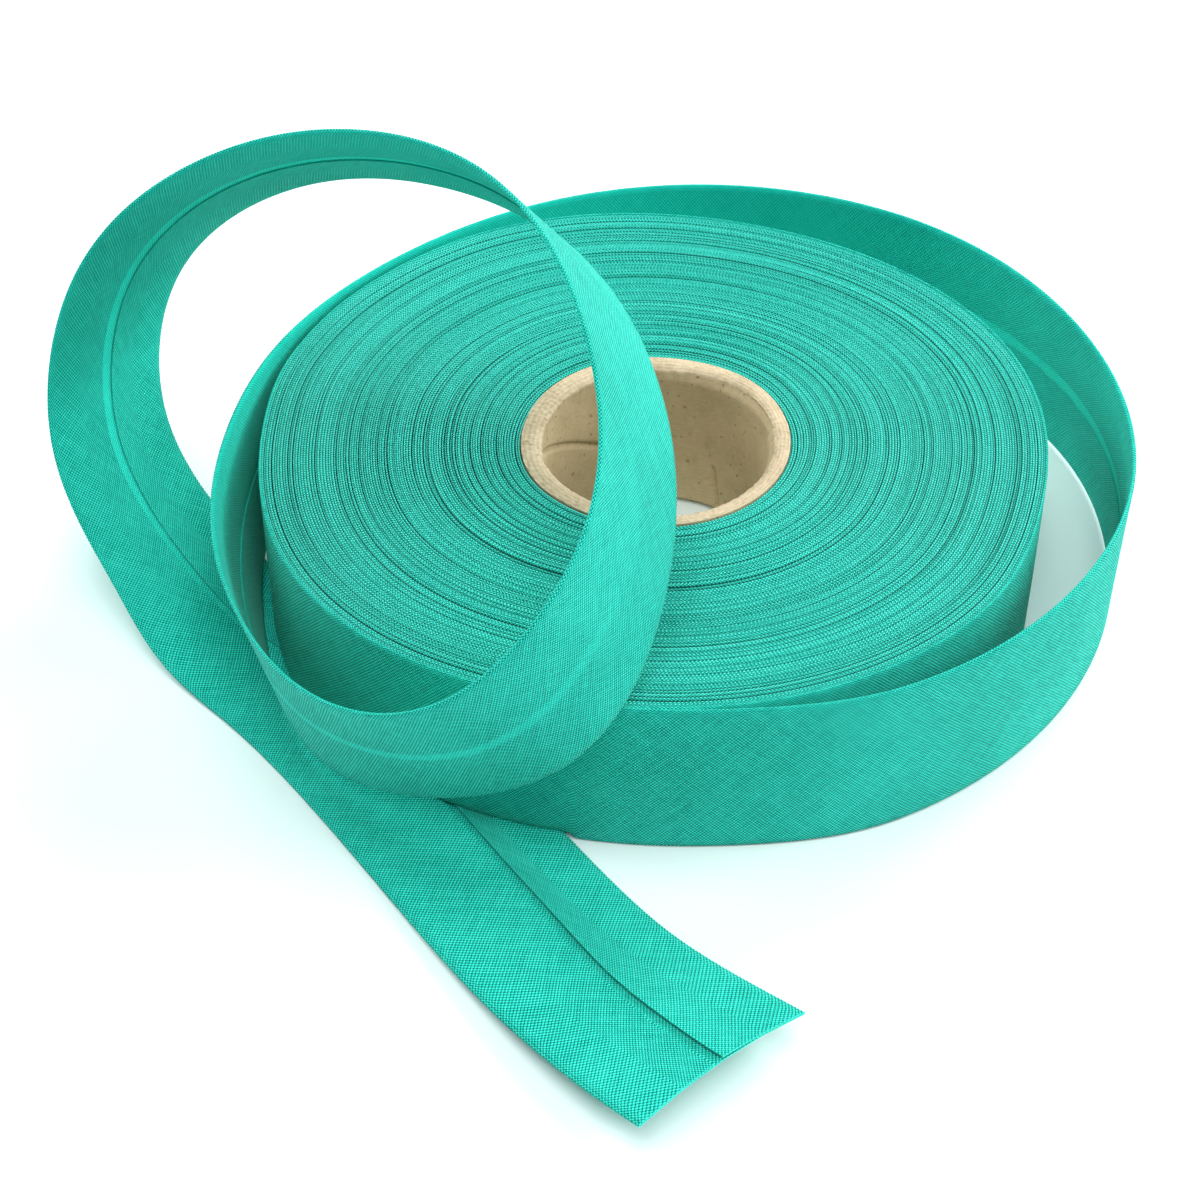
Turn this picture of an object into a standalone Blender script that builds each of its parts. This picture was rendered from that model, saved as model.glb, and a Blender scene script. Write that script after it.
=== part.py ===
"""A roll of bias binding on a cardboard core, lying flat, with its end sprung loose.

The outermost turn has sprung away from the roll.  Its end rises over the roll in
one big loop, comes down on the far left and runs out under the roll's rim as a
flat tail.  Everything is in metres, +Z up; the origin is on the surface under
the middle of the whole object's box.
"""

import math

import bmesh
import bpy
import numpy as np
from mathutils import Vector

MM = 0.001

# ---- driving dimensions -------------------------------------------------------

STRIP_WIDTH = 25.0 * MM         # folded width of the binding, and so the roll's height
SHEET_THICKNESS = 1.0 * MM      # of the loose end's sheet: both layers and the folds' puff
ROLL_RADIUS = 56.5 * MM         # mean radius of the wound roll
CORE_RADIUS = 19.1 * MM         # mean outer radius of the cardboard tube
CORE_WALL = 3.0 * MM
CORE_RECESS = 0.3 * MM          # the tube ends this far inside the roll's top face
PIECE_GAP = 0.35 * MM           # kept between the roll and the tube
RIM_ROUNDING = 0.4 * MM         # the outermost fold edges are a little rounded
BEARING_STEP = 3                # degrees between the sections of a ring

ROLL_AXIS = (8.7 * MM, 18.3 * MM)   # x and y of the roll's axis; the tables below are about it

CHANNEL_HEIGHT = 2.0 * MM       # the turns over the tail ride up by this much
CHANNEL_CHORD = 39.5 * MM       # from the roll's axis to the channel's inner wall
CHANNEL_BEARING = 219.0         # degrees; the channel is square to this direction

TAIL_SLANT = 3.5 * MM           # the tail's cut end runs this much further on its right edge

SHEET_STEP = 4.5 * MM           # length of one facet of the loose end
SHEET_STRIPS = 4                # facets across its width

# The wound roll isn't quite round: its outside swells and flattens a little.
# The rows are (bearing in degrees, offset from the mean radius in mm).
ROLL_OUTLINE = (
    (24, 0.6),
    (70, -0.6),
    (115, 0.7),
    (140, 0.0),
    (160, -0.3),
    (180, -1.0),
    (220, 0.7),
    (256, -0.6),
    (318, 0.6),
    (346, -0.7),
)

# The cardboard tube is squeezed slightly out of round, in the same columns.
CORE_OUTLINE = (
    (30, 0.4),
    (85, -0.6),
    (160, -0.8),
    (220, 0.3),
    (295, 0.8),
)

# The top of the roll dips towards the tube.  The rows are (share of the way from
# the tube to the outside, depth below the full height in mm).
ROLL_TOP = (
    (0.0, 0.7),
    (0.06, 0.25),
    (0.25, 0.0),
    (0.6, 0.15),
    (0.9, 0.0),
)

# The sprung outer turn stands on its lower edge around the roll.  The rows are
# (bearing in degrees, distance of its middle surface from the roll's mean radius
# in mm, height of its lower edge in mm, lean of its upper edge outwards in degrees).
SPRUNG_TURN = (
    (-97, 0.9, 0.1, 0),
    (-70, 2.6, 0.1, 0),
    (-40, 6.5, 0.1, 1),
    (-10, 10.6, 0.1, 1),
    (20, 13.0, 0.1, -2),
    (50, 12.3, 0.1, 1),
    (80, 8.5, 0.1, 2),
    (110, 3.8, 0.1, 2),
    (135, 1.4, 0.3, 1),
    (158, 0.9, 1.6, 1),
    (178, 1.5, 2.5, 5),
    (195, 3.6, 2.3, 11),
    (212, 7.0, 2.6, 14),
    (230, 11.0, 5.6, 19),
)

# Beyond it the end is free: over the roll, down to the surface, out as the tail.
# The rows are (x, y and height of the middle of the strip in mm, then the bearing
# and the rise, in degrees, of the direction from the middle to the strip's upper
# edge, which becomes the tail's left edge).
FREE_END = (
    (-17.0, -64.5, 30.0, 212, 52),
    (-4.5, -52.5, 44.5, 228, 52),
    (-4.0, -31.0, 57.5, 230, 52),
    (-15.0, -8.5, 65.5, 228, 51),
    (-35.5, 9.0, 64.0, 227, 43),
    (-58.0, 19.0, 54.5, 232, 32),
    (-76.0, 19.5, 37.0, 239, 27),
    (-79.0, 9.5, 16.5, 235, 24),
    (-67.0, -6.5, 3.6, 225, 14),
    (-59.5, -15.5, 0.8, 223, 3),
    (-51.0, -24.0, 0.1, 222, 0),
    (-35.0, -43.5, 0.1, 218, 0),
    (-19.5, -65.0, 0.1, 218, 0),
    (-7.5, -79.5, 0.2, 220, 0),
    (7.5, -93.0, 1.5, 222, -1),
)

# name: (base colour as linear RGB, roughness, metallic)
FINISHES = {
    "bias_binding": ((0.06, 0.60, 0.47), 0.85, 0.0),
    "kraft_cardboard": ((0.46, 0.34, 0.20), 0.90, 0.0),
}


# ---- small helpers ------------------------------------------------------------

def clear_scene():
    """Remove whatever is in the open scene."""
    for thing in list(bpy.data.objects):
        bpy.data.objects.remove(thing, do_unlink=True)


def finish(name):
    """A Principled material with one of the finishes."""
    colour, roughness, metallic = FINISHES[name]
    material = bpy.data.materials.new(name)
    material.use_nodes = True
    shader = material.node_tree.nodes["Principled BSDF"]
    shader.inputs["Base Color"].default_value = (*colour, 1.0)
    shader.inputs["Roughness"].default_value = roughness
    shader.inputs["Metallic"].default_value = metallic
    material.diffuse_color = (*colour, 1.0)
    return material


def natural_spline(knots, values, at):
    """A smooth curve through the values at the knots, read at the places `at`."""
    knots = np.asarray(knots, float)
    values = np.asarray(values, float)
    gaps = np.diff(knots)
    count = len(knots)
    system = np.eye(count)
    right = np.zeros_like(values)
    slopes = np.diff(values, axis=0) / gaps[:, None]
    for i in range(1, count - 1):
        system[i, i - 1:i + 2] = gaps[i - 1], 2 * (gaps[i - 1] + gaps[i]), gaps[i]
        right[i] = 6 * (slopes[i] - slopes[i - 1])
    bends = np.linalg.solve(system, right)
    span = np.clip(np.searchsorted(knots, at) - 1, 0, count - 2)
    gap = gaps[span][:, None]
    ahead = (knots[span + 1] - at)[:, None]
    behind = (at - knots[span])[:, None]
    return (bends[span] * ahead ** 3 / (6 * gap)
            + bends[span + 1] * behind ** 3 / (6 * gap)
            + (values[span] / gap - bends[span] * gap / 6) * ahead
            + (values[span + 1] / gap - bends[span + 1] * gap / 6) * behind)


def around(outline, bearing):
    """Offset in metres at a bearing, eased from row to row round the circle."""
    rows = list(outline) + [(outline[0][0] + 360, outline[0][1])]
    turned = (bearing - rows[0][0]) % 360 + rows[0][0]
    for (start, low), (end, high) in zip(rows, rows[1:]):
        if turned <= end:
            share = (turned - start) / (end - start)
            ease = (1 - math.cos(math.pi * share)) / 2
            return (low + (high - low) * ease) * MM
    return rows[-1][1] * MM


def new_object(name, mesh_builder, material):
    """Turn a filled bmesh into a named, smooth-shaded object of the scene."""
    bmesh.ops.recalc_face_normals(mesh_builder, faces=mesh_builder.faces)
    mesh = bpy.data.meshes.new(name)
    mesh_builder.to_mesh(mesh)
    mesh_builder.free()
    mesh.materials.append(material)
    mesh.shade_smooth()
    mesh.set_sharp_from_angle(angle=math.radians(40))
    thing = bpy.data.objects.new(name, mesh)
    bpy.context.scene.collection.objects.link(thing)
    return thing


def loft(sections, closed):
    """Bridge matching closed sections of points; the ends are capped if not closed."""
    builder = bmesh.new()
    rings = [[builder.verts.new(point) for point in section] for section in sections]
    pairs = list(zip(rings, rings[1:]))
    if closed:
        pairs.append((rings[-1], rings[0]))
    for near, far in pairs:
        for i in range(len(near)):
            j = (i + 1) % len(near)
            builder.faces.new((near[i], near[j], far[j], far[i]))
    if not closed:
        builder.faces.new(list(reversed(rings[0])))
        builder.faces.new(rings[-1])
    return builder


def ring_section(bearing, profile):
    """Points of a (radius, height) profile, stood up at a bearing about the Z axis."""
    angle = math.radians(bearing)
    return [(radius * math.cos(angle), radius * math.sin(angle), height)
            for radius, height in profile]


# ---- the cardboard tube -------------------------------------------------------

def core_radius(bearing):
    return CORE_RADIUS + around(CORE_OUTLINE, bearing)


def build_core(material):
    """The tube that the binding is wound on, open from end to end."""
    top = STRIP_WIDTH - CORE_RECESS
    sections = []
    for bearing in range(0, 360, BEARING_STEP):
        outside = core_radius(bearing)
        inside = outside - CORE_WALL
        profile = [(inside, 0), (outside, 0), (outside, top), (inside, top)]
        sections.append(ring_section(bearing, profile))
    return new_object("core", loft(sections, closed=True), material)


# ---- the wound roll -----------------------------------------------------------

def roll_radius(bearing):
    return ROLL_RADIUS + around(ROLL_OUTLINE, bearing)


def roll_profile(bearing):
    """Half-section of the wound roll: flat below, gently uneven on top."""
    inside = core_radius(bearing) + PIECE_GAP
    outside = roll_radius(bearing)
    top = [(inside + (outside - inside) * share, STRIP_WIDTH - depth * MM)
           for share, depth in ROLL_TOP]
    rim = [(outside - RIM_ROUNDING, STRIP_WIDTH), (outside, STRIP_WIDTH - RIM_ROUNDING)]
    foot = [(outside, RIM_ROUNDING), (outside - RIM_ROUNDING, 0)]
    return [(inside, 0)] + top + rim + foot


def build_channel_cutter():
    """The space that the flat tail takes under the roll's rim."""
    reach = ROLL_RADIUS
    angle = math.radians(CHANNEL_BEARING)
    middle = CHANNEL_CHORD + reach / 2
    bpy.ops.mesh.primitive_cube_add(size=1.0)
    cutter = bpy.context.object
    cutter.name = "tail_channel_cutter"
    cutter.scale = (reach, 3 * reach, 2 * CHANNEL_HEIGHT)
    cutter.rotation_euler = (0, 0, angle)
    cutter.location = (middle * math.cos(angle), middle * math.sin(angle), 0)
    cutter.hide_render = True
    cutter.display_type = "WIRE"
    return cutter


def build_wound_roll(material):
    """All the wound turns as one ring, raised a little where it sits on the tail."""
    sections = [ring_section(bearing, roll_profile(bearing))
                for bearing in range(0, 360, BEARING_STEP)]
    roll = new_object("wound_roll", loft(sections, closed=True), material)
    cut = roll.modifiers.new("tail_channel", "BOOLEAN")
    cut.operation = "DIFFERENCE"
    cut.object = build_channel_cutter()
    return roll


# ---- the loose end ------------------------------------------------------------

def sprung_station(bearing, distance, lift, lean):
    """Middle of the strip and direction of its upper edge on the sprung turn."""
    angle = math.radians(bearing)
    outward = Vector((math.cos(angle), math.sin(angle), 0))
    tilt = math.radians(lean)
    edge = outward * math.sin(tilt) + Vector((0, 0, math.cos(tilt)))
    middle = outward * (ROLL_RADIUS + distance * MM)
    lowest_corner = SHEET_THICKNESS / 2 * abs(math.sin(tilt))
    middle.z = lift * MM + lowest_corner + STRIP_WIDTH / 2 * math.cos(tilt)
    return middle, edge


def free_station(x, y, height, bearing, rise):
    """The same on the free end, whose table gives both directly."""
    middle = Vector((x, y, height)) * MM + Vector((0, 0, SHEET_THICKNESS / 2))
    angle = math.radians(bearing)
    climb = math.radians(rise)
    flat = math.cos(climb)
    edge = Vector((flat * math.cos(angle), flat * math.sin(angle), math.sin(climb)))
    return middle, edge


def loose_end_frames():
    """Middle points, upper-edge directions and face normals along the loose end."""
    stations = [sprung_station(*row) for row in SPRUNG_TURN]
    stations += [free_station(*row) for row in FREE_END]
    middles = np.array([middle for middle, _ in stations])
    edges = np.array([edge for _, edge in stations])
    hops = np.linalg.norm(np.diff(middles, axis=0), axis=1)
    knots = np.concatenate([[0], np.cumsum(hops)])
    places = np.linspace(0, knots[-1], round(knots[-1] / SHEET_STEP) + 1)
    path = natural_spline(knots, middles, places)
    edge = natural_spline(knots, edges, places)
    along = np.gradient(path, axis=0)
    along /= np.linalg.norm(along, axis=1)[:, None]
    edge -= along * (edge * along).sum(axis=1)[:, None]
    edge /= np.linalg.norm(edge, axis=1)[:, None]
    return path, edge, np.cross(along, edge)


def build_loose_end(material):
    """The sheet: sprung turn, loop over the roll and flat tail, in one strip."""
    half = SHEET_THICKNESS / 2
    across = [STRIP_WIDTH * (i / SHEET_STRIPS - 0.5) for i in range(SHEET_STRIPS + 1)]
    path, edges, normals = loose_end_frames()
    sections = []
    for middle, edge, normal in zip(path, edges, normals):
        one_face = [middle + edge * reach + normal * half for reach in across]
        other_face = [middle + edge * reach - normal * half for reach in reversed(across)]
        sections.append(one_face + other_face)
    ahead = (path[-1] - path[-2]) / np.linalg.norm(path[-1] - path[-2])
    slant = [-TAIL_SLANT * reach / STRIP_WIDTH for reach in across + across[::-1]]
    sections[-1] = [point + ahead * shift for point, shift in zip(sections[-1], slant)]
    return new_object("loose_end", loft(sections, closed=False), material)


# ---- the whole roll -----------------------------------------------------------

def build():
    clear_scene()
    axis = bpy.data.objects.new("roll_axis", None)
    axis.location = (*ROLL_AXIS, 0)
    bpy.context.scene.collection.objects.link(axis)
    binding = finish("bias_binding")
    pieces = (
        build_core(finish("kraft_cardboard")),
        build_wound_roll(binding),
        build_loose_end(binding),
        bpy.data.objects["tail_channel_cutter"],
    )
    for piece in pieces:
        piece.parent = axis


build()
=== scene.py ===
# %% [markdown]
# # A roll of bias binding with its end sprung loose
# Bias binding is a strip of cotton cut across the threads and ironed so that both long sides
# fold in to the middle. Twenty-four metres of it are wound on a short cardboard tube.
# The last seventy centimetres have come off the roll: they stand round it as one slack turn,
# climb over it in a big loop and lie down as a flat tail.
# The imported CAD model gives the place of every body, so it is loaded first and never moved.

import math

import bpy
import numpy as np
from mathutils import Matrix, Vector


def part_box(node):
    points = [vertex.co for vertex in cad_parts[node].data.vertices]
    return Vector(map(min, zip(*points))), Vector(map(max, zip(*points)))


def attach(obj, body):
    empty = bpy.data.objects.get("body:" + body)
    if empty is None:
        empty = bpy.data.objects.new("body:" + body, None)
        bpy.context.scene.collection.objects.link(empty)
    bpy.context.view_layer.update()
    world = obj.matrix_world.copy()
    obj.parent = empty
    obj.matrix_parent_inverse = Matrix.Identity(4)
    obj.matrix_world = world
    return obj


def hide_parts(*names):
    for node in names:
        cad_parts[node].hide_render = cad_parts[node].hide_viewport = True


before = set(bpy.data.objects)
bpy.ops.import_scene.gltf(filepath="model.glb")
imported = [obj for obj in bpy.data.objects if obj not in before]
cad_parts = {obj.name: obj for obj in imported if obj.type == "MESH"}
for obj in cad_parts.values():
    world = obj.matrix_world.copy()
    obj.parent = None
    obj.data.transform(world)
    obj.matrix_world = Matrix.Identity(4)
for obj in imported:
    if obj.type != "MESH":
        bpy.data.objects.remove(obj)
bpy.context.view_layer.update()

# %% [markdown]
# ## Sizes that everything shares
# A strip like this is 50 mm wide when open and 25 mm wide when folded, so the roll is 25 mm
# tall. The threads are about a third of a millimetre apart. Because the cloth is cut on the
# bias, they cross a fold at 45 degrees, and a fold shows one small tooth for each crossing.

# %% sizes of the strip, the roll and the tube
MM = 0.001
STRIP_WIDTH = 25.0 * MM
CLOTH_THICKNESS = 0.22 * MM
THREAD = 0.36 * MM
TOOTH = THREAD * math.sqrt(2)
ROLL_AXIS = np.array([8.7, 18.3]) * MM
ROLL_RADIUS = 56.5 * MM
TUBE_RADIUS = 19.1 * MM
TUBE_WALL = 3.0 * MM
TUBE_HEIGHT = 24.7 * MM
FIRST_TURN_GAP = 0.15 * MM
TURNS = 100
LEAVES_ROLL_AT = -97.0

tube_low, tube_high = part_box("core")
print("tube in the frame:", round((tube_high.x - tube_low.x) / MM, 1), "mm across")
print("one tooth of the fold every", round(TOOTH / MM, 3), "mm")

# %% [markdown]
# ## Neither the roll nor the tube is quite round
# A hand-wound roll swells and flattens by up to a millimetre. A short table of offsets by
# bearing, eased with a cosine from row to row, is enough to say so, and the same few lines
# serve the tube. A circle primitive would look machined.

# %% outlines by bearing
ROLL_OUTLINE = ((24, 0.6), (70, -0.6), (115, 0.7), (140, 0.0), (160, -0.3), (180, -1.0),
                (220, 0.7), (256, -0.6), (318, 0.6), (346, -0.7))
TUBE_OUTLINE = ((30, 0.4), (85, -0.6), (160, -0.8), (220, 0.3), (295, 0.8))


def swell(outline, bearing):
    """Offset in metres at each bearing in degrees."""
    rows = np.array(outline + ((outline[0][0] + 360, outline[0][1]),), float)
    turned = (np.asarray(bearing, float) - rows[0, 0]) % 360 + rows[0, 0]
    row = np.clip(np.searchsorted(rows[:, 0], turned) - 1, 0, len(rows) - 2)
    share = (turned - rows[row, 0]) / (rows[row + 1, 0] - rows[row, 0])
    ease = (1 - np.cos(np.pi * share)) / 2
    return (rows[row, 1] + (rows[row + 1, 1] - rows[row, 1]) * ease) * MM


def tube_radius(bearing):
    return TUBE_RADIUS + swell(TUBE_OUTLINE, bearing)


def roll_radius(bearing):
    return ROLL_RADIUS + swell(ROLL_OUTLINE, bearing)


print("roll radius from", round(roll_radius(np.arange(360)).min() / MM, 2),
      "to", round(roll_radius(np.arange(360)).max() / MM, 2), "mm")

# %% [markdown]
# ## Small irregularities
# Cloth is never even, so several shapes below need a slow random wander. Random numbers at
# a few knots, eased in between, give one. The seed is fixed, so each run makes the same roll.

# %% a seeded wander and an eased step
def wander(places, spacing, size, seed):
    """Smooth random offsets at the places, with a new random value every spacing."""
    knots = np.random.default_rng(seed).normal(0, size, int(np.max(places) / spacing) + 3)
    scaled = np.asarray(places, float) / spacing
    knot = scaled.astype(int)
    ease = ease_in(scaled - knot)
    return knots[knot] * (1 - ease) + knots[knot + 1] * ease


def ease_in(share):
    """0 to 1 with a soft start and a soft stop."""
    share = np.clip(share, 0, 1)
    return share * share * (3 - 2 * share)


print("a wander of 0.1 mm:", np.round(wander(np.arange(0, 5), 1.5, 0.1, 1), 3))

# %% [markdown]
# ## Skinning a row of cross-sections
# Everything here is a cross-section carried along a path: the folded strip, the wound turns
# and the tube. A curve with a bevel could do that too, but it can't change its section on
# the way, and it can't keep texture coordinates in metres. So one helper joins rings of
# points with quads and stores, for each corner, how far along and how far across it lies.
# The faces that close the ends take the coordinates of a thread's back, so they get its painted
# light and look pale.

# %% a skin over rings of points
def skin(name, rings, across, along, material, closed=False, caps="round"):
    """Object from rings (stations, points, 3); across and along are in metres."""
    stations, points = rings.shape[:2]
    index = np.arange(stations * points).reshape(stations, points)
    if closed:
        index = np.vstack([index, index[:1]])
    step = np.roll(index, -1, axis=1)
    quads = np.stack([index[:-1], step[:-1], step[1:], index[1:]], -1).reshape(-1, 4)
    rows = np.arange(len(index) - 1)
    around = np.broadcast_to(across, (len(index), points + 1))
    far = np.broadcast_to(np.reshape(along, (len(index), -1)), (len(index), points + 1))
    corners = [np.stack([far[rows + i][:, j:points + j], around[rows + i][:, j:points + j]], -1)
               for i, j in ((0, 0), (0, 1), (1, 1), (1, 0))]
    uv = np.stack(corners, 2).reshape(-1, 4, 2)
    faces = quads.tolist()
    uv = uv.reshape(-1, 2)
    if not closed:
        for ring, turn in ((index[0], 1), (index[-1], -1)):
            if caps == "round":
                ends = [ring[::-turn].tolist()]
            else:
                half = points // 2
                ends = [[ring[i], ring[-1 - i], ring[-2 - i], ring[i + 1]][::turn]
                        for i in range(half - 1)]
            faces += [[int(corner) for corner in end] for end in ends]
            cap_corners = sum(len(end) for end in ends)
            uv = np.vstack([uv, np.tile((TOOTH / 2, 0.0), (cap_corners, 1))])
    mesh = bpy.data.meshes.new(name)
    mesh.from_pydata(rings.reshape(-1, 3).tolist(), [], faces)
    layer = mesh.uv_layers.new(name="strip")
    layer.data.foreach_set("uv", uv.astype(np.float32).ravel())
    mesh.materials.append(material)
    mesh.shade_smooth()
    mesh.set_sharp_from_angle(angle=math.radians(75))
    piece = bpy.data.objects.new(name, mesh)
    bpy.context.scene.collection.objects.link(piece)
    if volume_of(mesh) < 0:
        mesh.flip_normals()
    print(name, "has", sum(len(face) - 2 for face in faces), "triangles")
    return piece


def volume_of(mesh):
    """Signed volume in cubic metres: below zero if the faces look inwards."""
    mesh.calc_loop_triangles()
    corner = np.empty(len(mesh.vertices) * 3)
    mesh.vertices.foreach_get("co", corner)
    triangle = np.empty(len(mesh.loop_triangles) * 3, int)
    mesh.loop_triangles.foreach_get("vertices", triangle)
    a, b, c = corner.reshape(-1, 3)[triangle.reshape(-1, 3)].transpose(1, 0, 2)
    return float((a * np.cross(b, c)).sum() / 6)


# %% [markdown]
# ## Building materials from a few sums
# A weave is two sets of threads that pass over and under each other, and that is plain
# arithmetic on the two coordinates of the cloth. Node trees for arithmetic get long, so a
# tiny helper adds one Math node and hands back its output.

# %% node helpers
def new_finish(name):
    """A material, its node tree and its Principled shader."""
    material = bpy.data.materials.new(name)
    material.use_nodes = True
    tree = material.node_tree
    return material, tree, tree.nodes["Principled BSDF"]


def feed(tree, socket, value):
    """Link an output to a socket, or store a plain number in it."""
    if isinstance(value, bpy.types.NodeSocket):
        tree.links.new(value, socket)
    else:
        socket.default_value = value


def calc(tree, operation, *values):
    """One Math node."""
    node = tree.nodes.new("ShaderNodeMath")
    node.operation = operation
    for socket, value in zip(node.inputs, values):
        feed(tree, socket, value)
    return node.outputs[0]


def noise(tree, vector, scale, detail=2.0, roughness=0.5):
    """One Noise Texture node; its output is a value near 0.5."""
    node = tree.nodes.new("ShaderNodeTexNoise")
    feed(tree, node.inputs["Vector"], vector)
    node.inputs["Scale"].default_value = scale
    node.inputs["Detail"].default_value = detail
    node.inputs["Roughness"].default_value = roughness
    return node.outputs["Fac"]


def point(tree, x, y, z=0.0):
    """One Combine XYZ node."""
    node = tree.nodes.new("ShaderNodeCombineXYZ")
    for socket, value in zip(node.inputs, (x, y, z)):
        feed(tree, socket, value)
    return node.outputs[0]


def shades(tree, value, stops):
    """One Color Ramp node with (place, colour) stops."""
    node = tree.nodes.new("ShaderNodeValToRGB")
    feed(tree, node.inputs[0], value)
    ramp = node.color_ramp
    while len(ramp.elements) < len(stops):
        ramp.elements.new(1.0)
    for element, (place, colour) in zip(ramp.elements, stops):
        element.position = place
        element.color = (*colour, 1.0)
    return node.outputs[0]


def cloth_place(tree):
    """Along and across the strip, in metres, from the coordinates stored by skin()."""
    stored = tree.nodes.new("ShaderNodeUVMap")
    stored.uv_map = "strip"
    split = tree.nodes.new("ShaderNodeSeparateXYZ")
    tree.links.new(stored.outputs[0], split.inputs[0])
    return split.outputs[0], split.outputs[1]


print("node helpers ready")

# %% [markdown]
# ## The cloth: plain weave, cut on the bias
# In a plain weave each thread goes over one and under the next. Take the two directions at
# 45 degrees to the strip, count threads along each, and use the sine of that count: its size
# is the round back of a thread, and the product of both sines says which set is on top.
# A woven image would blur or repeat, while this stays sharp at any size.
# Each thread also gets its own thickness from a noise that is stretched along it, which
# gives the fine slubs that run across the strip both ways.

# %% the weave as numbers
def weave(tree):
    """Height of the weave from 0 to 1, the thread unevenness, and the strip coordinates."""
    along, across = cloth_place(tree)
    per_metre = 1 / (THREAD * math.sqrt(2))
    first = calc(tree, "MULTIPLY", calc(tree, "ADD", along, across), per_metre)
    second = calc(tree, "MULTIPLY", calc(tree, "SUBTRACT", along, across), per_metre)
    sine_1 = calc(tree, "SINE", calc(tree, "MULTIPLY", first, math.pi))
    sine_2 = calc(tree, "SINE", calc(tree, "MULTIPLY", second, math.pi))
    product = calc(tree, "MULTIPLY", sine_1, sine_2)
    warp = calc(tree, "MULTIPLY_ADD", calc(tree, "ABSOLUTE", sine_1), 0.6,
                calc(tree, "MULTIPLY", product, 0.4))
    weft = calc(tree, "MULTIPLY_ADD", calc(tree, "ABSOLUTE", sine_2), 0.6,
                calc(tree, "MULTIPLY", product, -0.4))
    height = calc(tree, "MAXIMUM", warp, weft)
    slub_1 = noise(tree, point(tree, first, calc(tree, "MULTIPLY", second, 0.09)), 0.9, 1.0)
    slub_2 = noise(tree, point(tree, calc(tree, "MULTIPLY", first, 0.09), second, 7.0), 0.9, 1.0)
    warp_on_top = calc(tree, "GREATER_THAN", warp, weft)
    slub = calc(tree, "ADD", calc(tree, "MULTIPLY", slub_1, warp_on_top),
                calc(tree, "MULTIPLY", slub_2, calc(tree, "SUBTRACT", 1.0, warp_on_top)))
    return height, slub, along, across


# %% [markdown]
# ## The finish of the binding
# The dye is a cool sea green with almost no red in it. Painted shade darkens it between the
# threads, and painted light makes it paler on their backs. Cotton has a soft pale sheen at
# grazing angles, so the shader's sheen is used for that. The cloth is thin, so a share of
# Translucent shader lets some light through its real layers.
# That alone is too weak where the slit between the folded sides leaves a single layer, so the
# light through it is painted on as a brighter colour: in the slit and as a faint line on the
# smooth face of the loop. The folded sides of the slack turn and the loop lie in shade, so the
# weave's painted light and shade and its bump are fainter there than on the tail. On the wound
# turns one sees only the backs of the folds, and painted shade darkens the flanks between.
# The inner skin of the cloth is stored a tenth of a metre further across than the outer one,
# so a finish can tell them apart.

# %% the dye, its painted light and shade, and where they change
# Below, only DYE is the cloth's own colour: the first is painted shade, the third and fourth are
# painted light on the threads' backs.
DYE_PAINTED_SHADE = (0.0, 0.18, 0.135)
DYE = (0.0, 0.64, 0.505)
DYE_PAINTED_LIGHT = (0.08, 0.96, 0.80)
CREST_PAINTED_LIGHT = (0.15, 1.0, 0.88)
# Painted glow of light coming through a single layer of cloth.
DYE_PAINTED_GLOW = (0.05, 1.0, 0.84)
INSIDE_OFFSET = 100.0 * MM
FOOT_FOLD_AT = STRIP_WIDTH / 2 + 25.3 * MM
CREST_WIDTH = 0.38 * MM
SMOOTH_FACE_TO = 12.9 * MM
# Where the folded sides lie in shade, and how much fainter their weave is painted there.
SHADED_FACES_AT, SHADED_FACES_REACH, SHADED_FACES_SHARE = 330 * MM, 310 * MM, 0.6
MIDDLE_TONE = 0.66
SLIT_ON_LOOP = -0.3 * MM
# Where the painted glow goes: a line along the loop, and the slit at two places.
LINE_AT, LINE_REACH, LINE_WIDTH, LINE_SHARE = 352 * MM, 75 * MM, 1.2 * MM, 0.6
GLOW_PLACES, GLOW_REACH, GLOW_WIDTH = (150 * MM, 525 * MM), 95 * MM, 3.0 * MM
WEAVE_DEPTH = 0.11 * MM
LIGHT_THROUGH = 0.13


def near(tree, value, centre, width):
    """1 at the centre, easing to 0 at a distance of width."""
    away = calc(tree, "ABSOLUTE", calc(tree, "SUBTRACT", value, centre))
    node = tree.nodes.new("ShaderNodeMapRange")
    node.interpolation_type = "SMOOTHSTEP"
    for socket, number in zip(node.inputs[1:5], (0.35 * width, width, 1.0, 0.0)):
        socket.default_value = number
    feed(tree, node.inputs[0], away)
    return node.outputs[0]


def blended(tree, share, first, second):
    """One colour Mix node."""
    node = tree.nodes.new("ShaderNodeMix")
    node.data_type = "RGBA"
    feed(tree, node.inputs["Factor"], share)
    for socket, colour in ((node.inputs["A"], first), (node.inputs["B"], second)):
        feed(tree, socket, (*colour, 1.0) if isinstance(colour, tuple) else colour)
    return node.outputs["Result"]


print("slit on the loop:", SLIT_ON_LOOP / MM, "mm from the middle")

# %% the binding's material
def fold_flank_shade(tree, across, colour):
    """Paint shade on everything but the backs of the upper and the lower fold."""
    crest = calc(tree, "ADD", near(tree, across, STRIP_WIDTH / 2, CREST_WIDTH),
                 near(tree, across, FOOT_FOLD_AT, CREST_WIDTH))
    return blended(tree, crest, DYE_PAINTED_SHADE, colour)


def lit_slit_colour(tree, along, across, tone, colour):
    """Paint the light that comes through the single layer in the slit, and the line that it draws
    on the loop.
    """
    bright = shades(tree, tone, ((0.3, DYE), (0.8, DYE_PAINTED_GLOW)))
    on_loop = calc(tree, "MULTIPLY", near(tree, along, LINE_AT, LINE_REACH), LINE_SHARE)
    line = calc(tree, "MULTIPLY", near(tree, across, SLIT_ON_LOOP, LINE_WIDTH), on_loop)
    in_slit = near(tree, across, INSIDE_OFFSET, GLOW_WIDTH)
    where = calc(tree, "ADD", *(near(tree, along, place, GLOW_REACH) for place in GLOW_PLACES))
    return blended(tree, calc(tree, "MULTIPLY_ADD", in_slit, where, line), colour, bright)


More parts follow.
